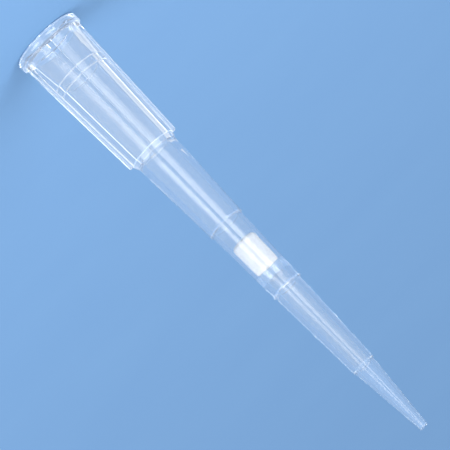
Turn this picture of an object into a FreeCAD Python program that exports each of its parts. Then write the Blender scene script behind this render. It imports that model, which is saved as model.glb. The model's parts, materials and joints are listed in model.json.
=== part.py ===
import FreeCAD, Part
import os
import Sketcher

# A 200 microlitre filter pipette tip: one clear moulding with a porous plug pressed in its barrel.
# It stands on the mouth of its collar. The origin is the centre of the mouth and +Z runs up the
# axis to the outlet, so every height below is a distance from the mouth. Millimetres.

doc = FreeCAD.newDocument("filter_tip")

# Two places nearer to each other than this are the same place.
SAME = 1e-4

# ---------------------------------------------------------------------------------------------
# Driving dimensions
# ---------------------------------------------------------------------------------------------
SIZES = [
    # lengths along the axis, outside
    ("tip_length", 54.0, "mouth to outlet"),
    ("rim_height", 1.1, "flange round the mouth"),
    ("collar_length", 15.4, "mouth to the end of the ribbed collar"),
    ("shoulder_length", 0.7, "slope from the collar down to the neck"),
    ("neck_length", 1.2, "straight stretch below the shoulder"),
    ("ring_one_height", 25.81, "mouth to the first volume ring"),
    ("ring_two_height", 34.51, "mouth to the second volume ring"),
    ("cone_length", 8.55, "slender cone that ends at the outlet"),
    ("ring_length", 0.12, "one volume ring, along the axis"),
    ("ring_slope", 0.06, "slope on each side of a volume ring"),
    # radii outside, each from the one before it
    ("collar_radius", 3.13, "collar wall under the flange"),
    ("rim_overhang", 0.61, "flange beyond the collar wall"),
    ("collar_draft", 0.47, "collar wall's loss of radius to its end"),
    ("shoulder_drop", 0.33, "collar end to neck"),
    ("upper_draft", 0.32, "neck to the first volume ring"),
    ("ring_one_step", 0.12, "fall in radius across the first ring"),
    ("middle_draft", 0.18, "between the two rings"),
    ("ring_two_step", 0.08, "fall in radius across the second ring"),
    ("lower_draft", 0.31, "second ring to the cone"),
    ("cone_step", 0.13, "shoulder at the top of the cone"),
    ("ring_bead", 0.05, "how far a volume ring stands out"),
    ("outlet_outer_radius", 0.463, "end face of the tip"),
    # inside
    ("rim_face", 0.59, "mouth face, from the flange's edge to the lip"),
    ("lead_in_depth", 1.6, "flared entry of the mouth"),
    ("entry_wall", 0.71, "wall at the bottom of the flare"),
    ("seal_depth", 4.63, "mouth to the sealing land"),
    ("seal_length", 0.8, "sealing land, along the axis"),
    ("seal_wall", 1.08, "collar radius less the land's radius"),
    ("seal_step", 0.08, "step at each end of the land"),
    ("seal_slope", 0.1, "length of each step"),
    ("throat_offset", 0.3, "end of the collar to the throat of the barrel"),
    ("barrel_wall", 0.63, "wall at the throat"),
    ("lower_wall", 0.54, "wall below the second ring"),
    ("cone_wall", 0.37, "wall at the top of the cone"),
    ("outlet_radius", 0.25, "outlet"),
    ("outlet_land", 0.5, "straight end of the outlet"),
    ("ledge_slope", 1.0, "length of the tapered ledge under the plug"),
    ("cone_bore_slope", 0.2, "length of the step in the bore at the cone"),
    # filter plug
    ("plug_top_depth", 28.22, "mouth to the plug"),
    ("plug_length", 3.87, "plug, along the axis"),
    ("bore_draft", 0.26, "loss of radius from the throat to the plug"),
    ("plug_taper", 0.06, "loss of radius along the plug"),
    ("plug_gap", 0.0, "plug to bore: pressed in, so the two faces meet"),
    ("plug_round", 0.27, "rounding of the plug's two edges"),
    # ribs
    ("rib_count", 4, "ribs round the collar"),
    ("rib_width", 0.8, "one rib, round the collar"),
    ("rib_height", 0.37, "rib beyond the collar wall"),
    ("rib_root", 0.3, "depth to which a rib is merged in the wall"),
    ("rib_round", 0.1, "rounding of the rib's long edges"),
    # small roundings
    ("rim_round", 0.27, "outer edge of the mouth"),
    ("rim_back_round", 0.22, "back edge of the flange"),
]

# Values worked out from the driving ones.
DERIVED = [
    ("rim_radius", "=collar_radius + rim_overhang"),
    ("collar_end_radius", "=collar_radius - collar_draft"),
    ("neck_radius", "=collar_end_radius - shoulder_drop"),
    ("ring_one_radius", "=neck_radius - upper_draft"),
    ("middle_radius", "=ring_one_radius - ring_one_step"),
    ("ring_two_radius", "=middle_radius - middle_draft"),
    ("lower_radius", "=ring_two_radius - ring_two_step"),
    ("lower_end_radius", "=lower_radius - lower_draft"),
    ("cone_radius", "=lower_end_radius - cone_step"),
    ("neck_top", "=collar_length + shoulder_length"),
    ("neck_end", "=neck_top + neck_length"),
    ("cone_start", "=tip_length - cone_length"),
    ("lip_radius", "=rim_radius - rim_face"),
    ("entry_radius", "=collar_radius - entry_wall"),
    ("seal_radius", "=collar_radius - seal_wall"),
    ("seal_end", "=seal_depth + seal_length"),
    ("throat_depth", "=collar_length + throat_offset"),
    ("throat_radius", "=neck_radius - barrel_wall"),
    ("seat_top_radius", "=throat_radius - bore_draft"),
    ("seat_bottom_radius", "=seat_top_radius - plug_taper"),
    ("plug_bottom_depth", "=plug_top_depth + plug_length"),
    ("plug_radius", "=seat_top_radius - plug_gap"),
    ("plug_bottom_radius", "=seat_bottom_radius - plug_gap"),
    ("lower_bore_radius", "=lower_radius - lower_wall"),
    ("cone_bore_radius", "=cone_radius - cone_wall"),
]

sheet = doc.addObject("Spreadsheet::Sheet", "sizes")
for row, (alias, value, meaning) in enumerate(SIZES, start=1):
    sheet.set("A%d" % row, alias)
    sheet.set("B%d" % row, str(value))
    sheet.set("C%d" % row, meaning)
    sheet.setAlias("B%d" % row, alias)
doc.recompute()
for row, (alias, formula) in enumerate(DERIVED, start=len(SIZES) + 1):
    sheet.set("A%d" % row, alias)
    sheet.set("B%d" % row, formula)
    sheet.setAlias("B%d" % row, alias)
    doc.recompute()


def size(expression):
    """The present value of a sum or difference of sheet aliases, in mm."""
    total = 0.0
    sign = 1.0
    for word in expression.split():
        if word in ("+", "-"):
            sign = 1.0 if word == "+" else -1.0
        else:
            total += sign * float(sheet.get(word))
    return total


def bound(expression):
    """The same sum, written as an expression on the sheet."""
    words = expression.split()
    return " ".join(word if word in ("+", "-") else "sizes." + word for word in words)


def new_body(name):
    """An empty body whose Label names its file."""
    body = doc.addObject("PartDesign::Body", name)
    body.Label = name
    body.Placement = FreeCAD.Placement()
    return body


def origin_plane(body, role):
    """One of the body's own origin planes, by its role."""
    return [item for item in body.Origin.OriginFeatures if item.Role == role][0]


def upright_sketch(body, name):
    """A sketch on the XZ plane: across is the radius and up is the distance from the mouth."""
    sketch = body.newObject("Sketcher::SketchObject", name)
    sketch.AttachmentSupport = [(origin_plane(body, "XZ_Plane"), "")]
    sketch.MapMode = "FlatFace"
    return sketch


def draw_outline(sketch, corners):
    """Draw a closed outline and bind each corner to the sheet.

    Each corner is (radius, height), and each of the two is a sum of sheet aliases, or None for
    a corner on the axis or on the mouth plane.
    """
    points = []
    for radius, height in corners:
        across = size(radius) if radius else 0.0
        up = size(height) if height else 0.0
        points.append(FreeCAD.Vector(across, up, 0))
    count = len(points)
    for index, point in enumerate(points):
        sketch.addGeometry(Part.LineSegment(point, points[(index + 1) % count]), False)
    for index in range(count):
        sketch.addConstraint(Sketcher.Constraint("Coincident", index, 2, (index + 1) % count, 1))
    for index, (radius, height) in enumerate(corners):
        for kind, axis, expression in (("DistanceX", -2, radius), ("DistanceY", -1, height)):
            if expression is None:
                sketch.addConstraint(Sketcher.Constraint("PointOnObject", index, 1, axis))
                continue
            start = (-1, 1, index, 1, size(expression))
            number = sketch.addConstraint(Sketcher.Constraint(kind, *start))
            sketch.setExpression("Constraints[%d]" % number, bound(expression))


def turn(body, kind, name, sketch):
    """Revolve a sketch a full turn about the body's axis, adding or cutting."""
    feature = body.newObject("PartDesign::" + kind, name)
    feature.Profile = sketch
    feature.ReferenceAxis = (sketch, ["V_Axis"])
    feature.Angle = 360.0
    sketch.Visibility = False
    doc.recompute()
    return feature


def edges_where(feature, test):
    """Names of the feature's edges that pass a test on their vertices and their own shape."""
    names = []
    for number, edge in enumerate(feature.Shape.Edges, start=1):
        if test(edge):
            names.append("Edge%d" % number)
    return names


def round_edges(body, name, feature, edges, alias):
    """Fillet the named edges of the body's last feature with a radius from the sheet."""
    fillet = body.newObject("PartDesign::Fillet", name)
    fillet.Base = (feature, edges)
    fillet.Radius = size(alias)
    fillet.setExpression("Radius", bound(alias))
    doc.recompute()
    return fillet


def circle_at(radius, height):
    """A test for the circular edge of that radius at that height."""
    def test(edge):
        if edge.Curve.TypeId != "Part::GeomCircle":
            return False
        level = size(height) if height else 0.0
        same_size = abs(edge.Curve.Radius - size(radius)) < SAME
        return same_size and abs(edge.Curve.Center.z - level) < SAME
    return test


# ---------------------------------------------------------------------------------------------
# The moulding
# ---------------------------------------------------------------------------------------------
def build_tip_body():
    """The clear moulding: a solid of the outer form, bored out, with ribs round the collar."""
    body = new_body("tip_body")

    outline = upright_sketch(body, "outer_outline")
    draw_outline(outline, [
        (None, None),
        ("rim_radius", None),
        ("rim_radius", "rim_height"),
        ("collar_radius", "rim_height"),
        ("collar_end_radius", "collar_length"),
        ("neck_radius", "neck_top"),
        ("neck_radius", "neck_end"),
        ("ring_one_radius", "ring_one_height - ring_slope"),
        ("ring_one_radius + ring_bead", "ring_one_height"),
        ("ring_one_radius + ring_bead", "ring_one_height + ring_length"),
        ("middle_radius", "ring_one_height + ring_length + ring_slope"),
        ("ring_two_radius", "ring_two_height - ring_slope"),
        ("ring_two_radius + ring_bead", "ring_two_height"),
        ("ring_two_radius + ring_bead", "ring_two_height + ring_length"),
        ("lower_radius", "ring_two_height + ring_length + ring_slope"),
        ("lower_end_radius", "cone_start"),
        ("cone_radius", "cone_start + ring_slope"),
        ("outlet_outer_radius", "tip_length"),
        (None, "tip_length"),
    ])
    solid = turn(body, "Revolution", "outer_form", outline)
    volume_before = solid.Shape.Volume

    bore = upright_sketch(body, "bore_outline")
    draw_outline(bore, [
        (None, None),
        ("lip_radius", None),
        ("entry_radius", "lead_in_depth"),
        ("seal_radius + seal_step", "seal_depth - seal_slope"),
        ("seal_radius", "seal_depth"),
        ("seal_radius", "seal_end"),
        ("seal_radius - seal_step", "seal_end + seal_slope"),
        ("throat_radius", "throat_depth"),
        ("seat_top_radius", "plug_top_depth"),
        ("seat_bottom_radius", "plug_bottom_depth"),
        ("lower_bore_radius", "plug_bottom_depth + ledge_slope"),
        ("cone_bore_radius", "cone_start + cone_bore_slope"),
        ("outlet_radius", "tip_length - outlet_land"),
        ("outlet_radius", "tip_length"),
        (None, "tip_length"),
    ])
    cut = turn(body, "Groove", "bore", bore)
    if cut.Shape.Volume > volume_before - SAME:
        raise RuntimeError("the bore cut nothing out of the moulding")

    rib = upright_sketch(body, "rib_outline")
    draw_outline(rib, [
        ("collar_radius - rib_root", "rim_height - rim_back_round"),
        ("collar_radius + rib_height", "rim_height - rim_back_round"),
        ("collar_end_radius + rib_height", "collar_length"),
        ("collar_end_radius - rib_root", "collar_length"),
    ])
    pad = body.newObject("PartDesign::Pad", "rib")
    pad.Profile = rib
    pad.SideType = "Symmetric"
    pad.Length = size("rib_width")
    pad.setExpression("Length", bound("rib_width"))
    rib.Visibility = False
    doc.recompute()

    def crest_edge(edge):
        """The two long outer edges of the rib."""
        ends = [vertex.Point for vertex in edge.Vertexes]
        if len(ends) != 2 or abs(ends[0].z - ends[1].z) < size("rim_height"):
            return False
        outer = max(point.x for point in ends) > size("collar_radius")
        return outer and all(abs(abs(point.y) - size("rib_width") / 2) < SAME for point in ends)

    crest = round_edges(body, "rib_rounding", pad, edges_where(pad, crest_edge), "rib_round")

    ribs = body.newObject("PartDesign::PolarPattern", "ribs")
    ribs.Originals = [pad, crest]
    ribs.Axis = ([item for item in body.Origin.OriginFeatures if item.Role == "Z_Axis"][0], [""])
    ribs.Angle = 360.0
    ribs.Occurrences = int(size("rib_count"))
    ribs.setExpression("Occurrences", bound("rib_count"))
    body.Tip = ribs
    doc.recompute()

    last = ribs
    for name, radius, height, rounding in (
        ("mouth_edge", "rim_radius", None, "rim_round"),
        ("flange_edge", "rim_radius", "rim_height", "rim_back_round"),
    ):
        last = round_edges(body, name, last, edges_where(last, circle_at(radius, height)), rounding)
    body.Tip = last
    return body


# ---------------------------------------------------------------------------------------------
# The filter plug
# ---------------------------------------------------------------------------------------------
def build_filter_plug():
    """The porous plug, which fills the bore above the ledge."""
    body = new_body("filter_plug")
    outline = upright_sketch(body, "plug_outline")
    draw_outline(outline, [
        (None, "plug_top_depth"),
        ("plug_radius", "plug_top_depth"),
        ("plug_bottom_radius", "plug_bottom_depth"),
        (None, "plug_bottom_depth"),
    ])
    solid = turn(body, "Revolution", "plug_form", outline)
    top = edges_where(solid, circle_at("plug_radius", "plug_top_depth"))
    bottom = edges_where(solid, circle_at("plug_bottom_radius", "plug_bottom_depth"))
    body.Tip = round_edges(body, "plug_edges", solid, top + bottom, "plug_round")
    return body


bodies = [build_tip_body(), build_filter_plug()]
doc.recompute()

# ---------------------------------------------------------------------------------------------
# Check and write
# ---------------------------------------------------------------------------------------------
for item in doc.Objects:
    if "Invalid" in item.State or "Error" in item.State:
        raise RuntimeError("%s failed: %s" % (item.Name, item.State))
for body in bodies:
    if body.Shape.isNull() or not body.Shape.isValid():
        raise RuntimeError("%s has no valid shape" % body.Label)

os.makedirs("parts", exist_ok=True)
for body in bodies:
    body.Shape.exportStep("parts/%s.step" % body.Label)
    box = body.Shape.BoundBox
    print("%s: %.1f mm3, %.2f x %.2f x %.2f mm" % (
        body.Label, body.Shape.Volume, box.XLength, box.YLength, box.ZLength))
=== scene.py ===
"""Looks of a 200 microlitre filter pipette tip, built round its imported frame.

The tip stands on the mouth of its collar at the origin, and +Z runs up its axis to the outlet.
Objects are in metres. Shapes are modelled in millimetres and scaled once they are whole.
"""
import json
import logging
import math
from dataclasses import dataclass
from enum import Enum
from typing import Any, Iterable

import bmesh
import bpy
from bmesh.types import BMEdge, BMesh, BMFace, BMVert
from bpy.types import Material, Node, NodeTree, Object
from mathutils import Matrix, Vector


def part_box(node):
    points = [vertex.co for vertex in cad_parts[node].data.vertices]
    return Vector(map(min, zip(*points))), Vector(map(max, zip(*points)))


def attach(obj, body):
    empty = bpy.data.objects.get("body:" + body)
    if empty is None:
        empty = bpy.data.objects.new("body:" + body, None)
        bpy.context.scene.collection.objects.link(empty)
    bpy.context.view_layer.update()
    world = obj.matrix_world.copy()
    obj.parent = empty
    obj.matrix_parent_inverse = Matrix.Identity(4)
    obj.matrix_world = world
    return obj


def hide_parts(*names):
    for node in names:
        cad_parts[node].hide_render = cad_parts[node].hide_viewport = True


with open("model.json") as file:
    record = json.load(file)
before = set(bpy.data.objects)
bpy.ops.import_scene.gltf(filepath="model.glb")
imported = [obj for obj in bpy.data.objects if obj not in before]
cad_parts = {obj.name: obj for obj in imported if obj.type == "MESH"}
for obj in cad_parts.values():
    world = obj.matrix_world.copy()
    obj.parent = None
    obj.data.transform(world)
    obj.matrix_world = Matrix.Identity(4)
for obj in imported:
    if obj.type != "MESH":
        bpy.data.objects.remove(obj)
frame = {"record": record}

MM = 0.001
BODY = "root"
AXIS = Vector((0.0, 0.0, 1.0))
SAME = 1e-3  # mm: nearer than this, two places are the same
WELD = 1e-4  # mm: nearer than this, two vertices are joined
ARC_FLAT = 0.05  # mm: about how long each flat of a rounding is
LEAST_FLATS = 3
LEVEL = 1e-6  # a face looks inwards if it leans to the axis by more than this
AT_LEAST_ONE = 0.5  # a count of bounces above this is one or more
log = logging.getLogger("filter_tip")


# ---------------------------------------------------------------------------------------------
# Shared modelling steps
# ---------------------------------------------------------------------------------------------
@dataclass(frozen=True)
class Corner:
    """A corner of a turned outline, in mm, with how far its rounding reaches along each side."""

    radius: float
    height: float
    rounding: float = 0.0


class Shading(Enum):
    """How a piece's faces meet in the light, by the angle in degrees where an edge turns sharp."""

    MOULDED = 32.0
    GRANULAR = 80.0

    @property
    def sharp_angle(self) -> float:
        """The angle between two faces, in radians, above which their edge stays sharp."""
        return math.radians(self.value)


def ring_edges(mesh: BMesh, corner: Corner) -> list[BMEdge]:
    """Find the circle of edges that a corner of the outline left when it was turned.

    Args:
        mesh: the turned shape, in mm.
        corner: the corner that the circle passes through.

    Returns:
        The edges whose two ends lie on that circle.
    """
    def on_ring(vertex: BMVert) -> bool:
        """Whether the vertex lies on the corner's circle."""
        off_radius = abs(vertex.co.xy.length - corner.radius)
        return off_radius < SAME and abs(vertex.co.z - corner.height) < SAME

    return [edge for edge in mesh.edges if all(on_ring(vertex) for vertex in edge.verts)]


def round_edges(mesh: BMesh, edges: list[BMEdge], reach: float, segments: int) -> None:
    """Round edges with an arc.

    Args:
        mesh: the shape, in mm.
        edges: the edges to round, all in one go so that they meet cleanly.
        reach: how far the rounding goes along each face, in mm.
        segments: flats across the arc.
    """
    bmesh.ops.bevel(
        mesh, geom=edges, offset=reach, offset_type="OFFSET", affect="EDGES",
        segments=segments, profile=0.5, material=-1, clamp_overlap=True,
    )


def turn(corners: list[Corner], steps: int, closed: bool) -> BMesh:
    """Spin an outline a full turn about Z and round its corners.

    Args:
        corners: the outline in order, in mm.
        steps: facets round the turn.
        closed: whether the last corner joins the first. An outline that starts and ends on
            the axis is left open.

    Returns:
        The turned shape, closed, with its faces outwards.
    """
    mesh = bmesh.new()
    points = [mesh.verts.new((corner.radius, 0.0, corner.height)) for corner in corners]
    followers = points[1:] + (points[:1] if closed else [])
    edges = [mesh.edges.new(pair) for pair in zip(points, followers)]
    bmesh.ops.spin(
        mesh, geom=points + edges, axis=AXIS, cent=(0.0, 0.0, 0.0),
        angle=2.0 * math.pi, steps=steps, use_merge=True,
    )
    bmesh.ops.remove_doubles(mesh, verts=mesh.verts, dist=WELD)
    bmesh.ops.recalc_face_normals(mesh, faces=mesh.faces)
    for reach in sorted({corner.rounding for corner in corners} - {0.0}):
        rings: list[BMEdge] = []
        for corner in corners:
            if corner.rounding == reach:
                rings += ring_edges(mesh, corner)
        round_edges(mesh, rings, reach, segments=max(LEAST_FLATS, round(reach / ARC_FLAT)))
    return mesh


def true_flats(piece: Object) -> None:
    """Let each long face keep its own direction, so that only the roundings beside it bend light.

    The object's mesh is replaced. It has to be in mm, because the weighting takes areas that are
    nearer to each other than a hundredth of a unit for equal.

    Args:
        piece: the object, its mesh in mm and its sharp edges marked.
    """
    weighted = piece.modifiers.new("true_flats", "WEIGHTED_NORMAL")
    weighted.keep_sharp = True
    weighted.weight = 100
    weighted.thresh = 0.01
    graph = bpy.context.evaluated_depsgraph_get()
    rough = piece.data
    piece.data = bpy.data.meshes.new_from_object(piece.evaluated_get(graph))
    piece.modifiers.clear()
    bpy.data.meshes.remove(rough)


def make_piece(mesh: BMesh, name: str, shading: Shading) -> Object:
    """Turn a shape in mm into a finished object in metres.

    Args:
        mesh: the whole shape. It is freed.
        name: the piece's name.
        shading: how its faces meet in the light.

    Returns:
        The object, at the origin, in the scene.
    """
    for face in mesh.faces:
        face.smooth = True
    for edge in mesh.edges:
        edge.smooth = edge.calc_face_angle(0.0) < shading.sharp_angle
    data = bpy.data.meshes.new(name)
    mesh.to_mesh(data)
    mesh.free()
    piece = bpy.data.objects.new(name, data)
    bpy.context.scene.collection.objects.link(piece)
    if shading is Shading.MOULDED:
        true_flats(piece)
    piece.data.transform(Matrix.Scale(MM, 4))
    piece.data.name = name
    return piece


# ---------------------------------------------------------------------------------------------
# Shared material steps
# ---------------------------------------------------------------------------------------------
def linear(colour: str) -> tuple[float, float, float, float]:
    """Turn an sRGB hex colour into the linear one that a shader takes.

    Args:
        colour: six hex digits after a #.

    Returns:
        Red, green, blue and an alpha of 1.
    """
    channels = []
    for start in (1, 3, 5):
        value = int(colour[start:start + 2], 16) / 255.0
        channels.append(value / 12.92 if value <= 0.04045 else ((value + 0.055) / 1.055) ** 2.4)
    return channels[0], channels[1], channels[2], 1.0


def add_node(
    tree: NodeTree,
    kind: str,
    settings: dict[str, Any] | None = None,
    values: dict[str | int, Any] | None = None,
    links: dict[str | int, tuple[Node, str | int]] | None = None,
) -> Node:
    """Add a node with its settings, its sockets' values and its incoming links.

    Args:
        tree: the node tree.
        kind: the node's type name.
        settings: the node's own properties.
        values: a value for each input named.
        links: for each input named, the node and the output that feed it.

    Returns:
        The new node.
    """
    node = tree.nodes.new(kind)
    for key, value in (settings or {}).items():
        setattr(node, key, value)
    for key, value in (values or {}).items():
        node.inputs[key].default_value = value
    for key, (source, output) in (links or {}).items():
        tree.links.new(source.outputs[output], node.inputs[key])
    return node


def empty_material(name: str) -> tuple[Material, NodeTree]:
    """Make a material that holds no nodes yet.

    Args:
        name: the material's name.

    Returns:
        The material and its node tree.
    """
    material = bpy.data.materials.new(name)
    material.use_nodes = True
    material.node_tree.nodes.clear()
    return material, material.node_tree


# ---------------------------------------------------------------------------------------------
# Finishes
# ---------------------------------------------------------------------------------------------
@dataclass(frozen=True)
class ClearPolypropylene:
    """Clarified polypropylene, injection moulded in a polished mould.

    It is glossy and see-through, with a milky haze because the plastic is partly crystalline.
    The haze counts once, where light enters a wall, unless a share of it counts where light
    leaves. It changes from the collar's to the barrel's between the two heights given. The melt
    runs along the tip as it fills, which leaves very long, very shallow waves, and the polish of
    the mould varies a little from place to place.
    """

    name: str = "clear_polypropylene"
    tint: str = "#FBFDFF"
    refraction: float = 1.49
    milk_colour: str = "#D8D5CF"
    collar_haze: float = 0.17
    barrel_haze: float = 0.115
    collar_foot_mm: float = 15.4
    neck_foot_mm: float = 17.0
    leaving_share: float = 0.0
    roughness_low: float = 0.008
    roughness_high: float = 0.02
    polish_patch_mm: float = 0.6
    polish_detail: float = 3.0
    polish_low: float = 0.3
    polish_high: float = 0.7
    wave_across_mm: float = 3.0
    wave_along_mm: float = 14.0
    wave_depth_mm: float = 0.002

    def material(self) -> Material:
        """Make the material.

        Returns:
            The finished material.
        """
        material, tree = empty_material(self.name)
        place = add_node(tree, "ShaderNodeTexCoord")
        polish = add_node(
            tree, "ShaderNodeTexNoise",
            values={"Scale": 1.0 / (self.polish_patch_mm * MM), "Detail": self.polish_detail},
            links={"Vector": (place, "Object")},
        )
        roughness = add_node(
            tree, "ShaderNodeMapRange",
            values={"From Min": self.polish_low, "From Max": self.polish_high,
                    "To Min": self.roughness_low, "To Max": self.roughness_high},
            links={"Value": (polish, "Fac")},
        )
        across = 1.0 / (self.wave_across_mm * MM)
        stretched = add_node(
            tree, "ShaderNodeMapping",
            values={"Scale": (across, across, 1.0 / (self.wave_along_mm * MM))},
            links={"Vector": (place, "Object")},
        )
        flow = add_node(
            tree, "ShaderNodeTexNoise",
            values={"Scale": 1.0, "Detail": 1.0},
            links={"Vector": (stretched, "Vector")},
        )
        waves = add_node(
            tree, "ShaderNodeBump",
            values={"Strength": 1.0, "Distance": self.wave_depth_mm * MM},
            links={"Height": (flow, "Fac")},
        )
        plastic = add_node(
            tree, "ShaderNodeBsdfPrincipled",
            values={"Base Color": linear(self.tint), "IOR": self.refraction,
                    "Transmission Weight": 1.0},
            links={"Roughness": (roughness, "Result"), "Normal": (waves, "Normal")},
        )
        milk = add_node(tree, "ShaderNodeBsdfDiffuse", values={"Color": linear(self.milk_colour)})
        height = add_node(tree, "ShaderNodeSeparateXYZ", links={"Vector": (place, "Object")})
        haze = add_node(
            tree, "ShaderNodeMapRange",
            values={"From Min": self.collar_foot_mm * MM, "From Max": self.neck_foot_mm * MM,
                    "To Min": self.collar_haze, "To Max": self.barrel_haze},
            links={"Value": (height, "Z")},
        )
        side = add_node(tree, "ShaderNodeNewGeometry")
        entering = add_node(
            tree, "ShaderNodeMath", settings={"operation": "MULTIPLY_ADD"},
            values={1: self.leaving_share - 1.0, 2: 1.0}, links={0: (side, "Backfacing")},
        )
        share = add_node(
            tree, "ShaderNodeMath", settings={"operation": "MULTIPLY"},
            links={0: (haze, "Result"), 1: (entering, "Value")},
        )
        shader = add_node(
            tree, "ShaderNodeMixShader",
            links={0: (share, "Value"), 1: (plastic, "BSDF"), 2: (milk, "BSDF")},
        )
        add_node(tree, "ShaderNodeOutputMaterial", links={"Surface": (shader, "Shader")})
        return material


@dataclass(frozen=True)
class SinteredPolyethylene:
    """Polyethylene beads sintered into a porous plug.

    It is chalk white and dead matt. The beads are about a fifth of a millimetre across, and the
    pores between them carry painted shade, a colour a little darker than their crowns.
    """

    name: str = "sintered_polyethylene"
    bead_colour: str = "#FBFBFA"
    # Painted shade: the colour given to the pores between the beads.
    painted_pore_shade: str = "#E9EAEC"
    bead_mm: float = 0.2
    bead_blend: float = 0.4
    bead_relief_mm: float = 0.05
    relief_strength: float = 0.6
    refraction: float = 1.5
    roughness: float = 0.92

    def material(self) -> Material:
        """Make the material.

        Returns:
            The finished material.
        """
        material, tree = empty_material(self.name)
        place = add_node(tree, "ShaderNodeTexCoord")
        beads = add_node(
            tree, "ShaderNodeTexVoronoi",
            settings={"feature": "SMOOTH_F1"},
            values={"Scale": 1.0 / (self.bead_mm * MM), "Smoothness": self.bead_blend},
            links={"Vector": (place, "Object")},
        )
        # Painted shade: the pores between the beads are coloured darker than the beads' crowns.
        colour = add_node(
            tree, "ShaderNodeMix",
            settings={"data_type": "RGBA"},
            values={"A": linear(self.bead_colour), "B": linear(self.painted_pore_shade)},
            links={"Factor": (beads, "Distance")},
        )
        relief = add_node(
            tree, "ShaderNodeBump",
            settings={"invert": True},
            values={"Strength": self.relief_strength, "Distance": self.bead_relief_mm * MM},
            links={"Height": (beads, "Distance")},
        )
        shader = add_node(
            tree, "ShaderNodeBsdfPrincipled",
            values={"Roughness": self.roughness, "IOR": self.refraction},
            links={"Base Color": (colour, "Result"), "Normal": (relief, "Normal")},
        )
        add_node(tree, "ShaderNodeOutputMaterial", links={"Surface": (shader, "BSDF")})
        return material


@dataclass(frozen=True)
class PaintedBoard:
    """Board with matt paint, which the tip stands on.

    It is even and almost without gloss. The roller leaves its colour very slightly patchy.
    """

    name: str = "painted_board"
    light_colour: str = "#668DB8"
    dark_colour: str = "#6289B5"
    roller_mm: float = 20.0
    roller_detail: float = 4.0
    roughness: float = 0.95
    gloss: float = 0.1

    def material(self) -> Material:
        """Make the material.

        Returns:
            The finished material.
        """
        material, tree = empty_material(self.name)
        place = add_node(tree, "ShaderNodeTexCoord")
        roller = add_node(
            tree, "ShaderNodeTexNoise",
            values={"Scale": 1.0 / (self.roller_mm * MM), "Detail": self.roller_detail},
            links={"Vector": (place, "Object")},
        )
        colour = add_node(
            tree, "ShaderNodeMix",
            settings={"data_type": "RGBA"},
            values={"A": linear(self.dark_colour), "B": linear(self.light_colour)},
            links={"Factor": (roller, "Fac")},
        )
        shader = add_node(
            tree, "ShaderNodeBsdfPrincipled",
            values={"Roughness": self.roughness, "Specular IOR Level": self.gloss},
            links={"Base Color": (colour, "Result")},
        )
        add_node(tree, "ShaderNodeOutputMaterial", links={"Surface": (shader, "BSDF")})
        return material


@dataclass(frozen=True)
class CardGlow:
    """A lit card that only the gloss of the tip picks up. It lights nothing else."""

    name: str
    colour: str
    radiance: float
    fade_start: float
    fade_end: float
    least: float

    def material(self) -> Material:
        """Make the material.

        Returns:
            The finished material, clear from behind and for every ray that nothing mirrored.
        """
        material, tree = empty_material(self.name)
        path = add_node(tree, "ShaderNodeLightPath")
        face = add_node(tree, "ShaderNodeNewGeometry")
        lit = add_node(
            tree, "ShaderNodeMath", settings={"operation": "SUBTRACT"},
            values={0: 1.0}, links={1: (face, "Backfacing")},
        )
        mirrored = add_node(
            tree, "ShaderNodeMath", settings={"operation": "GREATER_THAN"},
            values={1: AT_LEAST_ONE}, links={0: (path, "Glossy Depth")},
        )
        shown = add_node(
            tree, "ShaderNodeMath", settings={"operation": "MULTIPLY"},
            links={0: (mirrored, "Value"), 1: (lit, "Value")},
        )
        place = add_node(tree, "ShaderNodeTexCoord")
        distance = add_node(
            tree, "ShaderNodeVectorMath", settings={"operation": "LENGTH"},
            links={0: (place, "Object")},
        )
        strength = add_node(
            tree, "ShaderNodeMapRange", settings={"interpolation_type": "SMOOTHSTEP"},
            values={"From Min": self.fade_start * MM, "From Max": self.fade_end * MM,
                    "To Min": self.radiance, "To Max": self.radiance * self.least},
            links={"Value": (distance, "Value")},
        )
        clear = add_node(tree, "ShaderNodeBsdfTransparent")
        glow = add_node(
            tree, "ShaderNodeEmission", values={"Color": linear(self.colour)},
            links={"Strength": (strength, "Result")},
        )
        mix = add_node(
            tree, "ShaderNodeMixShader",
            links={0: (shown, "Value"), 1: (clear, "BSDF"), 2: (glow, "Emission")},
        )
        add_node(tree, "ShaderNodeOutputMaterial", links={"Surface": (mix, "Shader")})
        material.cycles.emission_sampling = "NONE"
        return material


# ---------------------------------------------------------------------------------------------
# The moulding
# ---------------------------------------------------------------------------------------------
class Zone(Enum):
    """A stretch of the moulding with its own finish, by material slot."""

    WALL = 0
    POLISHED = 1
    FROSTED = 2
    MATT = 3
    CLOUDY = 4


@dataclass(frozen=True)
class Band:
    """A band round the moulding, between two heights, inside or outside. Sizes in mm."""

    start: float
    end: float
    inside: bool
    zone: Zone


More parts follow.
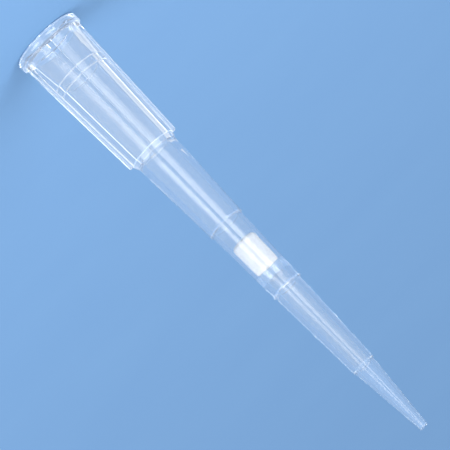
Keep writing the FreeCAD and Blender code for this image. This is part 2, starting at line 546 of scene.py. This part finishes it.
@dataclass
class TipBody:
    """The clear moulding: a ribbed collar, a stepped barrel and a slender cone. Sizes in mm."""

    length: float
    rim_radius: float
    seal_radius: float
    seal_depth: float
    seal_length: float
    finish: ClearPolypropylene
    polished_finish: ClearPolypropylene
    frosted_finish: ClearPolypropylene
    matt_finish: ClearPolypropylene
    cloudy_finish: ClearPolypropylene

    steps: int = 256
    rim_height: float = 1.1
    rim_round: float = 0.27
    rim_back_round: float = 0.22
    collar_radius: float = 3.13
    collar_end_radius: float = 2.66
    collar_length: float = 15.4
    shoulder_length: float = 0.7
    neck_radius: float = 2.33
    neck_length: float = 1.2
    neck_round: float = 0.25
    neck_end_round: float = 0.15
    ring_one_radius: float = 2.01
    ring_one_height: float = 25.81
    middle_radius: float = 1.89
    ring_two_radius: float = 1.71
    ring_two_height: float = 34.51
    lower_radius: float = 1.63
    lower_end_radius: float = 1.32
    cone_radius: float = 1.19
    cone_length: float = 8.55
    cone_step_round: float = 0.05
    outlet_outer_radius: float = 0.463
    outlet_round: float = 0.04
    ring_length: float = 0.12
    ring_bead: float = 0.05
    ring_slope: float = 0.06
    ring_round: float = 0.025
    lip_radius: float = 3.15
    entry_radius: float = 2.42
    entry_depth: float = 1.6
    entry_round: float = 0.05
    lip_round: float = 0.05
    seal_step: float = 0.08
    seal_slope: float = 0.1
    bore_step_round: float = 0.03
    throat_radius: float = 1.70
    throat_depth: float = 15.7
    seat_top_radius: float = 1.44
    seat_top_depth: float = 28.22
    seat_bottom_radius: float = 1.38
    seat_bottom_depth: float = 32.09
    seat_top_round: float = 0.15
    ledge_slope: float = 1.0
    ledge_round: float = 0.05
    cone_bore_slope: float = 0.2
    lower_bore_radius: float = 1.09
    cone_bore_radius: float = 0.82
    cone_bore_round: float = 0.15
    outlet_radius: float = 0.25
    outlet_land: float = 0.5
    outlet_land_round: float = 0.1
    rib_count: int = 4
    rib_width: float = 0.8
    rib_height: float = 0.37
    rib_round: float = 0.1
    rib_round_flats: int = 3
    rib_margin: float = 0.15
    rib_columns: int = 6
    line_width: float = 0.1

    def outside(self) -> list[Corner]:
        """Lay out the outer outline.

        Returns:
            Its corners, from the mouth to the outlet.
        """
        neck_top = self.collar_length + self.shoulder_length
        cone_start = self.length - self.cone_length
        corners = [
            Corner(self.rim_radius, 0.0, self.rim_round),
            Corner(self.rim_radius, self.rim_height, self.rim_back_round),
            Corner(self.collar_radius + self.rib_height, self.rim_height),
            Corner(self.collar_radius, self.rim_height),
            Corner(self.collar_end_radius, self.collar_length),
            self.on_line(self.collar_end_radius, self.collar_length, self.neck_radius, neck_top),
            Corner(self.neck_radius, neck_top, self.neck_round),
            Corner(self.neck_radius, neck_top + self.neck_length, self.neck_end_round),
        ]
        corners += self.volume_ring(self.ring_one_radius, self.ring_one_height, self.middle_radius)
        corners += self.volume_ring(self.ring_two_radius, self.ring_two_height, self.lower_radius)
        corners += [
            Corner(self.lower_end_radius, cone_start, self.cone_step_round),
            Corner(self.cone_radius, cone_start + self.ring_slope, self.cone_step_round),
            Corner(self.outlet_outer_radius, self.length, self.outlet_round),
        ]
        return corners

    def volume_ring(self, above: float, height: float, below: float) -> list[Corner]:
        """Lay out one volume ring, a fine bead at a step in the barrel.

        Args:
            above: the barrel's radius on the collar's side of the ring.
            height: where the ring starts, from the mouth.
            below: the barrel's radius past the ring.

        Returns:
            The ring's four corners.
        """
        crest = above + self.ring_bead
        end = height + self.ring_length
        return [
            Corner(above, height - self.ring_slope),
            Corner(crest, height, self.ring_round),
            Corner(crest, end, self.ring_round),
            Corner(below, end + self.ring_slope),
        ]

    def on_line(
        self, radius: float, height: float, far_radius: float, far_height: float,
    ) -> Corner:
        """Find where a fine line round the moulding ends, on the way from a corner to the next.

        Args:
            radius: the first corner's radius, where the line starts.
            height: the first corner's height.
            far_radius: the next corner's radius.
            far_height: the next corner's height.

        Returns:
            The corner at the line's end.
        """
        share = self.line_width / (far_height - height)
        return Corner(radius + share * (far_radius - radius), height + self.line_width)

    def bore(self) -> list[Corner]:
        """Lay out the bore.

        Returns:
            Its corners, from the outlet back to the mouth.
        """
        seal_end = self.seal_depth + self.seal_length
        cone_start = self.length - self.cone_length
        ledge_end = self.seat_bottom_depth + self.ledge_slope
        cone_bore_start = cone_start + self.cone_bore_slope
        land_start = self.length - self.outlet_land
        entry = (self.entry_radius, self.entry_depth)
        before_seal = (self.seal_radius + self.seal_step, self.seal_depth - self.seal_slope)
        after_seal = (self.seal_radius - self.seal_step, seal_end + self.seal_slope)
        throat = (self.throat_radius, self.throat_depth)
        seat_top = (self.seat_top_radius, self.seat_top_depth)
        return [
            Corner(self.outlet_radius, self.length, self.outlet_round),
            Corner(self.outlet_radius, land_start, self.outlet_land_round),
            Corner(self.cone_bore_radius, cone_bore_start, self.cone_bore_round),
            Corner(self.lower_bore_radius, ledge_end, self.ledge_round),
            Corner(self.seat_bottom_radius, self.seat_bottom_depth, self.ledge_round),
            Corner(*seat_top, self.seat_top_round),
            self.on_line(*throat, *seat_top),
            Corner(*throat, self.bore_step_round),
            Corner(*after_seal, self.bore_step_round),
            Corner(self.seal_radius, seal_end, self.bore_step_round),
            Corner(self.seal_radius, self.seal_depth, self.bore_step_round),
            Corner(*before_seal, self.bore_step_round),
            # A fine line past the flare's edge. No band of finish uses it.
            self.on_line(*entry, *before_seal),
            Corner(*entry, self.entry_round),
            Corner(self.lip_radius, 0.0, self.lip_round),
        ]

    def bands(self) -> list[Band]:
        """List the bands whose finish differs from the walls'.

        The flare of the mouth and the bore of the cone are polished, and the cone is cloudy
        outside. The volume rings, the rim, the end of the collar and the outlet's end, where the
        mould's parts meet, are lightly frosted. The small steps inside are matt.

        Returns:
            The bands.
        """
        line = self.line_width
        ring = self.ring_length
        cone_start = self.length - self.cone_length
        seal_end = self.seal_depth + self.seal_length
        return [
            Band(0.0, self.entry_depth, True, Zone.POLISHED),
            Band(cone_start + self.cone_bore_slope, self.length, True, Zone.POLISHED),
            Band(cone_start, self.length, False, Zone.CLOUDY),
            Band(self.seal_depth - self.seal_slope, self.seal_depth, True, Zone.MATT),
            Band(seal_end, seal_end + self.seal_slope, True, Zone.MATT),
            Band(self.throat_depth, self.throat_depth + line, True, Zone.MATT),
            Band(0.0, self.rim_round, False, Zone.FROSTED),
            Band(self.collar_length, self.collar_length + line, False, Zone.FROSTED),
            Band(self.ring_one_height, self.ring_one_height + ring, False, Zone.FROSTED),
            Band(self.ring_two_height, self.ring_two_height + ring, False, Zone.FROSTED),
            Band(self.length, self.length, False, Zone.FROSTED),
        ]

    def paint_zones(self, mesh: BMesh) -> None:
        """Give each face of the moulding the material slot of its zone.

        Args:
            mesh: the finished moulding, in mm.
        """
        slack = self.line_width / 4.0
        bands = self.bands()
        for face in mesh.faces:
            heights = [vertex.co.z for vertex in face.verts]
            middle = face.calc_center_median()
            inside = face.normal.xy.dot(middle.xy) < -LEVEL
            for band in bands:
                within = min(heights) > band.start - slack and max(heights) < band.end + slack
                if within and inside == band.inside:
                    face.material_index = band.zone.value

    def wall_radius(self, height: float) -> float:
        """The collar wall's outer radius at a height."""
        share = (height - self.rim_height) / (self.collar_length - self.rim_height)
        return self.collar_radius + share * (self.collar_end_radius - self.collar_radius)

    def column(self, vertex: BMVert, azimuth: float) -> int:
        """Find which column of the turn a vertex is in, counted from the middle of a rib.

        Args:
            vertex: a vertex of the turned moulding.
            azimuth: the direction of the rib's middle, in radians.

        Returns:
            The column's number, below zero on one side of the rib.
        """
        across = math.atan2(vertex.co.y, vertex.co.x) - azimuth
        turns = across / (2.0 * math.pi)
        return round((turns - round(turns)) * self.steps)

    def across(self, column: int) -> float:
        """Find how far a column of a rib lies from the rib's middle.

        Args:
            column: the column's number. The outer two are the rib's flanks.

        Returns:
            The distance in mm, below zero on one side of the rib.
        """
        if abs(column) == self.rib_columns:
            return math.copysign(self.rib_width / 2.0, column)
        clear_of_rounding = self.rib_width / 2.0 - self.rib_margin
        return clear_of_rounding * column / (self.rib_columns - 1)

    def rib_faces(self, mesh: BMesh, azimuth: float) -> tuple[list[BMFace], list[BMFace]]:
        """Find the faces that one rib stands on.

        Args:
            mesh: the turned moulding, in mm.
            azimuth: the direction of the rib's middle, in radians.

        Returns:
            The faces of the collar wall under the rib, and those of the flange's back that the
            rib's end covers.
        """
        wall, flange = [], []
        for face in mesh.faces:
            if any(abs(self.column(vertex, azimuth)) > self.rib_columns for vertex in face.verts):
                continue
            heights = [vertex.co.z for vertex in face.verts]
            radii = [vertex.co.xy.length for vertex in face.verts]
            if min(heights) < self.rim_height - SAME or max(heights) > self.collar_length + SAME:
                continue
            if min(radii) < self.collar_end_radius - SAME:
                continue
            if max(heights) - min(heights) > self.rim_height:
                wall.append(face)
            elif max(radii) < self.collar_radius + self.rib_height + SAME:
                flange.append(face)
        return wall, flange

    def raise_rib(self, mesh: BMesh, azimuth: float) -> None:
        """Raise one rib from the collar wall, with parallel flanks, square on to the flange.

        Args:
            mesh: the turned moulding, in mm.
            azimuth: the direction of the rib's middle, in radians.
        """
        along = Vector((math.cos(azimuth), math.sin(azimuth), 0.0))
        sideways = AXIS.cross(along)
        wall, flange = self.rib_faces(mesh, azimuth)
        feet = {vertex for face in wall for vertex in face.verts}
        seats = {vertex for face in flange for vertex in face.verts} - feet
        raised = bmesh.ops.extrude_face_region(mesh, geom=wall)["geom"]
        crest = [item for item in raised if isinstance(item, BMVert)]
        bmesh.ops.delete(mesh, geom=wall, context="FACES")
        for vertex in feet | seats | set(crest):
            across = self.across(self.column(vertex, azimuth))
            radius = self.wall_radius(vertex.co.z)
            outward = radius + self.rib_height
            if vertex in feet:
                outward = math.sqrt(radius ** 2 - across ** 2)
            vertex.co = along * outward + sideways * across + AXIS * vertex.co.z
        end_faces = [
            face for vertex in crest for face in vertex.link_faces
            if all(abs(corner.co.z - self.rim_height) < SAME for corner in face.verts)
        ]
        covered = list(dict.fromkeys(end_faces + flange))
        bmesh.ops.delete(mesh, geom=covered, context="FACES")
        bmesh.ops.remove_doubles(mesh, verts=mesh.verts, dist=WELD)

    def crest_edges(self, mesh: BMesh, azimuth: float) -> tuple[list[BMEdge], list[BMEdge]]:
        """Find one rib's outer edges.

        Args:
            mesh: the moulding with its ribs, in mm.
            azimuth: the direction of the rib's middle, in radians.

        Returns:
            The edges to round, and the lines along the crest that no form needs.
        """
        along = Vector((math.cos(azimuth), math.sin(azimuth), 0.0))
        sideways = AXIS.cross(along)
        rounded, spare = [], []
        for edge in mesh.edges:
            places = []
            for vertex in edge.verts:
                outward = vertex.co.dot(along) - self.wall_radius(vertex.co.z)
                across = vertex.co.dot(sideways)
                places.append((outward, abs(across), vertex.co.z))
            on_crest = all(abs(place[0] - self.rib_height) < SAME for place in places)
            in_rib = all(place[1] < self.rib_width / 2.0 + SAME for place in places)
            if not on_crest or not in_rib:
                continue
            flank = all(place[1] > self.rib_width / 2.0 - SAME for place in places)
            at_end = all(abs(place[2] - self.collar_length) < SAME for place in places)
            long = abs(places[0][2] - places[1][2]) > self.rim_height
            if flank and long or at_end:
                rounded.append(edge)
            elif long:
                spare.append(edge)
        return rounded, spare

    def model(self) -> BMesh:
        """Model the moulding.

        Returns:
            The whole shape, in mm.
        """
        mesh = turn(self.outside() + self.bore(), self.steps, closed=True)
        azimuths = [2.0 * math.pi * rib / self.rib_count for rib in range(self.rib_count)]
        for azimuth in azimuths:
            self.raise_rib(mesh, azimuth)
        rounded: list[BMEdge] = []
        spare: list[BMEdge] = []
        for azimuth in azimuths:
            outer, lines = self.crest_edges(mesh, azimuth)
            rounded += outer
            spare += lines
        bmesh.ops.dissolve_edges(mesh, edges=spare, use_verts=False)
        round_edges(mesh, rounded, self.rib_round, self.rib_round_flats)
        mesh.normal_update()
        self.paint_zones(mesh)
        return mesh

    def build(self) -> Object:
        """Model, finish and place the moulding.

        Returns:
            The finished piece.
        """
        piece = make_piece(self.model(), "clear_tip_moulding", Shading.MOULDED)
        finishes_by_zone = {
            Zone.WALL: self.finish,
            Zone.POLISHED: self.polished_finish,
            Zone.FROSTED: self.frosted_finish,
            Zone.MATT: self.matt_finish,
            Zone.CLOUDY: self.cloudy_finish,
        }
        for zone in Zone:
            piece.data.materials.append(finishes_by_zone[zone].material())
        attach(piece, BODY)
        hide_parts("tip_body")
        return piece


# ---------------------------------------------------------------------------------------------
# The filter plug
# ---------------------------------------------------------------------------------------------
@dataclass
class FilterPlug:
    """The porous plug pressed in the barrel. Sizes in mm."""

    top_depth: float
    bottom_depth: float
    top_radius: float
    finish: SinteredPolyethylene

    taper: float = 0.06
    air_film: float = 0.02
    edge_round: float = 0.5
    steps: int = 128

    def model(self) -> BMesh:
        """Model the plug, a hair slimmer than the bore: only the beads' crowns touch the wall.

        Returns:
            The whole shape, in mm.
        """
        top = self.top_radius - self.air_film
        bottom = top - self.taper
        return turn([
            Corner(0.0, self.top_depth),
            Corner(top, self.top_depth, self.edge_round),
            Corner(bottom, self.bottom_depth, self.edge_round),
            Corner(0.0, self.bottom_depth),
        ], self.steps, closed=False)

    def build(self) -> Object:
        """Model, finish and place the plug.

        Returns:
            The finished piece.
        """
        piece = make_piece(self.model(), "porous_filter_plug", Shading.GRANULAR)
        piece.data.materials.append(self.finish.material())
        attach(piece, BODY)
        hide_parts("filter_plug")
        return piece


# ---------------------------------------------------------------------------------------------
# The studio
# ---------------------------------------------------------------------------------------------
@dataclass
class Viewpoint:
    """The camera: how it stands round the tip, and how the tip lies across its frame."""

    azimuth_deg: float = -78.0
    elevation_deg: float = 11.5
    axis_slope_deg: float = 45.7
    distance_mm: float = 1500.0
    frame_width_mm: float = 43.96
    aim_height_mm: float = 25.85
    aim_aside_mm: float = 0.144
    sensor_mm: float = 36.0
    nearest_m: float = 0.01
    farthest_m: float = 20.0

    def towards(self) -> Vector:
        """Find the direction from the tip to the camera.

        Returns:
            The direction, of length 1.
        """
        azimuth = math.radians(self.azimuth_deg)
        elevation = math.radians(self.elevation_deg)
        flat = math.cos(elevation)
        return Vector((flat * math.cos(azimuth), flat * math.sin(azimuth), math.sin(elevation)))

    def aside(self) -> Vector:
        """The level direction across the tip, to the upper right of the frame."""
        return self.towards().cross(AXIS).normalized()

    def build(self) -> Object:
        """Make the camera and look through it.

        Returns:
            The camera.
        """
        back = self.towards()
        up_the_tip = (AXIS - back * back.z).normalized()
        right = Matrix.Rotation(math.radians(self.axis_slope_deg), 3, back) @ up_the_tip
        up = back.cross(right)
        aim = AXIS * self.aim_height_mm - self.aside() * self.aim_aside_mm
        data = bpy.data.cameras.new("camera")
        data.sensor_width = self.sensor_mm
        data.lens = self.sensor_mm * self.distance_mm / self.frame_width_mm
        data.clip_start = self.nearest_m
        data.clip_end = self.farthest_m
        camera = bpy.data.objects.new("camera", data)
        camera.matrix_world = Matrix((right, up, back)).transposed().to_4x4()
        camera.location = (aim + back * self.distance_mm) * MM
        bpy.context.scene.collection.objects.link(camera)
        bpy.context.scene.camera = camera
        return camera


@dataclass(frozen=True)
class FloorCard:
    """A lit sector on the board: its bearings, turned from the camera's, and reach in mm.

    Its glow fades with distance from the tip, down to the least share of its radiance.
    """

    name: str
    start_deg: float
    end_deg: float
    near: float
    far: float
    radiance: float
    colour: str = "#FFFFFF"
    fade_start: float = 170.0
    fade_end: float = 320.0
    least: float = 0.35


@dataclass(frozen=True)
class SoftBox:
    """A square lamp: its bearing, turned from the camera's, its height and its radiance."""

    name: str
    turned_deg: float
    height_deg: float
    radiance: float


@dataclass
class Studio:
    """A pale board, soft light all round, and cards for the gloss to mirror. Sizes in mm."""

    view: Viewpoint
    board: PaintedBoard

    board_half: float = 1500.0
    board_drop: float = 0.02
    sky_colour: str = "#FFFDFA"
    sky_strength: float = 1.15
    backdrop_colour: str = "#8DB8EA"
    lamp_distance: float = 600.0
    lamp_size: float = 400.0
    lamps: tuple[SoftBox, ...] = (
        SoftBox("key_box", 35.0, 30.0, 6.0),
        SoftBox("fill_box", -50.0, 25.0, 6.0),
    )
    wall_crossings: int = 32
    card_lift: float = 0.1
    card_facets: int = 8
    # The cards on the camera's side give the pair of streaks along the bore. The last one lies
    # behind the tip and brightens the collar, mostly at one side.
    cards: tuple[FloorCard, ...] = (
        FloorCard("streak_card_right", 7.0, 42.0, 8.0, 1450.0, 3.2),
        FloorCard("streak_card_left", -39.0, -12.0, 85.0, 1450.0, 3.0, least=0.06),
        FloorCard("collar_card_left", -39.0, -12.0, 8.0, 85.0, 1.6),
        FloorCard("collar_card_right", 119.0, 165.0, 8.0, 80.0, 0.95, colour="#DCE9FB"),
    )

    def direction(self, turned_deg: float) -> Vector:
        """Find a level direction by its bearing.

        Args:
            turned_deg: the turn from the camera's bearing, towards the upper right of its frame.

        Returns:
            The direction, of length 1.
        """
        level = self.view.towards()
        level.z = 0.0
        angle = math.radians(turned_deg)
        return level.normalized() * math.cos(angle) + self.view.aside() * math.sin(angle)

    def stage_piece(self, mesh: BMesh, name: str, material: Material) -> Object:
        """Make a stage piece from a flat shape in mm.

        Args:
            mesh: the shape. It is freed.
            name: the piece's name.
            material: its finish.

        Returns:
            The piece, which isn't part of the object.
        """
        piece = make_piece(mesh, name, Shading.MOULDED)
        piece.data.materials.append(material)
        return piece

    def build_board(self) -> Object:
        """Lay the board that the tip stands on.

        Returns:
            The board.
        """
        mesh = bmesh.new()
        bmesh.ops.create_grid(mesh, x_segments=1, y_segments=1, size=self.board_half)
        bmesh.ops.translate(mesh, vec=-AXIS * self.board_drop, verts=mesh.verts)
        return self.stage_piece(mesh, "board", self.board.material())

    def build_floor_card(self, card: FloorCard) -> Object:
        """Lay a lit sector on the board, which the tip's gloss mirrors.

        Args:
            card: where it lies and how bright it is.

        Returns:
            The card.
        """
        mesh = bmesh.new()
        start = self.direction(card.start_deg)
        lift = AXIS * self.card_lift
        ends = [mesh.verts.new(start * reach + lift) for reach in (card.near, card.far)]
        edge = mesh.edges.new(ends)
        bmesh.ops.spin(
            mesh, geom=ends + [edge], axis=-AXIS, cent=(0.0, 0.0, 0.0),
            angle=math.radians(card.end_deg - card.start_deg), steps=self.card_facets,
        )
        mesh.normal_update()
        downward = [face for face in mesh.faces if face.normal.z < 0.0]
        bmesh.ops.reverse_faces(mesh, faces=downward)
        glow = CardGlow(
            card.name, card.colour, card.radiance, card.fade_start, card.fade_end, card.least,
        )
        return self.stage_piece(mesh, card.name, glow.material())

    def build_world(self) -> None:
        """Light the scene evenly from all round, behind a backdrop of the board's own colour.

        Whatever light a surface scatters comes from the sky. The camera, the gloss and the clear
        plastic look at the backdrop.
        """
        world = bpy.data.worlds.new("soft_room")
        world.use_nodes = True
        world.cycles.sampling_method = "NONE"
        tree = world.node_tree
        tree.nodes.clear()
        path = add_node(tree, "ShaderNodeLightPath")
        scattered = add_node(
            tree, "ShaderNodeMath", settings={"operation": "GREATER_THAN"},
            values={1: AT_LEAST_ONE}, links={0: (path, "Diffuse Depth")},
        )
        backdrop = add_node(
            tree, "ShaderNodeBackground", values={"Color": linear(self.backdrop_colour)},
        )
        sky = add_node(
            tree, "ShaderNodeBackground",
            values={"Color": linear(self.sky_colour), "Strength": self.sky_strength},
        )
        mix = add_node(
            tree, "ShaderNodeMixShader",
            links={0: (scattered, "Value"), 1: (backdrop, "Background"), 2: (sky, "Background")},
        )
        add_node(tree, "ShaderNodeOutputWorld", links={"Surface": (mix, "Shader")})
        bpy.context.scene.world = world

    def follow_light(self) -> None:
        """Let light cross the clear walls, and glance along inside them, until it gets out."""
        paths = bpy.context.scene.cycles
        paths.max_bounces = self.wall_crossings
        paths.transmission_bounces = self.wall_crossings
        paths.glossy_bounces = self.wall_crossings

    def build_lamp(self, box: SoftBox) -> Object:
        """Hang a soft box on the camera's side, low enough to light an upright wall well.

        Args:
            box: where it hangs and how bright it is.

        Returns:
            The lamp.
        """
        height = math.radians(box.height_deg)
        way = self.direction(box.turned_deg) * math.cos(height) + AXIS * math.sin(height)
        data = bpy.data.lights.new(box.name, "AREA")
        data.shape = "SQUARE"
        data.size = self.lamp_size * MM
        data.energy = box.radiance * math.pi * data.size ** 2
        lamp = bpy.data.objects.new(box.name, data)
        lamp.rotation_euler = way.to_track_quat("Z", "Y").to_euler()
        lamp.location = way * self.lamp_distance * MM
        bpy.context.scene.collection.objects.link(lamp)
        return lamp

    def build(self) -> list[Object]:
        """Set the stage.

        Returns:
            The stage's pieces.
        """
        self.build_world()
        for box in self.lamps:
            self.build_lamp(box)
        self.follow_light()
        return [self.build_board()] + [self.build_floor_card(card) for card in self.cards]


# ---------------------------------------------------------------------------------------------
# The whole scene
# ---------------------------------------------------------------------------------------------
def tip_body_from_frame() -> TipBody:
    """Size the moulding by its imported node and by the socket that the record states.

    Returns:
        The moulding, ready to build.
    """
    _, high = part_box("tip_body")
    socket = next(mount for mount in frame["record"]["mounts"] if mount["name"] == "socket")
    seal_length = socket["dims"]["length_mm"]
    return TipBody(
        length=high.z / MM,
        rim_radius=high.x / MM,
        seal_radius=socket["dims"]["r_mm"],
        seal_depth=socket["pos_m"][2] / MM - seal_length / 2.0,
        seal_length=seal_length,
        finish=ClearPolypropylene(),
        # A polished core pin leaves the plastic as clear as glass.
        polished_finish=ClearPolypropylene(
            "polished_polypropylene", collar_haze=0.0, barrel_haze=0.0,
        ),
        # Edges where the mould's parts meet are finely frosted, and show as pale lines.
        frosted_finish=ClearPolypropylene(
            "frosted_polypropylene", milk_colour="#EEF4FF", collar_haze=0.3, barrel_haze=0.2,
        ),
        # The small steps of the bore are matt, so they show through the wall as fine rings.
        matt_finish=ClearPolypropylene(
            "matt_polypropylene", milk_colour="#EEF4FF", collar_haze=0.42, leaving_share=1.0,
        ),
        # The cone is cloudier than the barrel, with an even bluish grey veil.
        cloudy_finish=ClearPolypropylene(
            "cloudy_polypropylene", milk_colour="#B4BFCC", barrel_haze=0.22,
        ),
    )


def filter_plug_from_frame() -> FilterPlug:
    """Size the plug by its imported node.

    Returns:
        The plug, ready to build.
    """
    low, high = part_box("filter_plug")
    return FilterPlug(
        top_depth=low.z / MM,
        bottom_depth=high.z / MM,
        top_radius=high.x / MM,
        finish=SinteredPolyethylene(),
    )


def report(piece: Object) -> None:
    """Log a piece's name and size."""
    size = " x ".join("%.2f" % (length / MM) for length in piece.dimensions)
    log.info("%s: %s mm, %d faces", piece.name, size, len(piece.data.polygons))


def main() -> None:
    """Build the tip and its studio, and log each piece's size."""
    logging.basicConfig(level=logging.INFO, format="%(name)s %(message)s")
    bpy.context.scene.view_settings.view_transform = "Standard"
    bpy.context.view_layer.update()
    for part in (tip_body_from_frame(), filter_plug_from_frame()):
        report(part.build())
    view = Viewpoint()
    view.build()
    for piece in Studio(view, PaintedBoard()).build():
        report(piece)


if __name__ == "__main__":
    main()
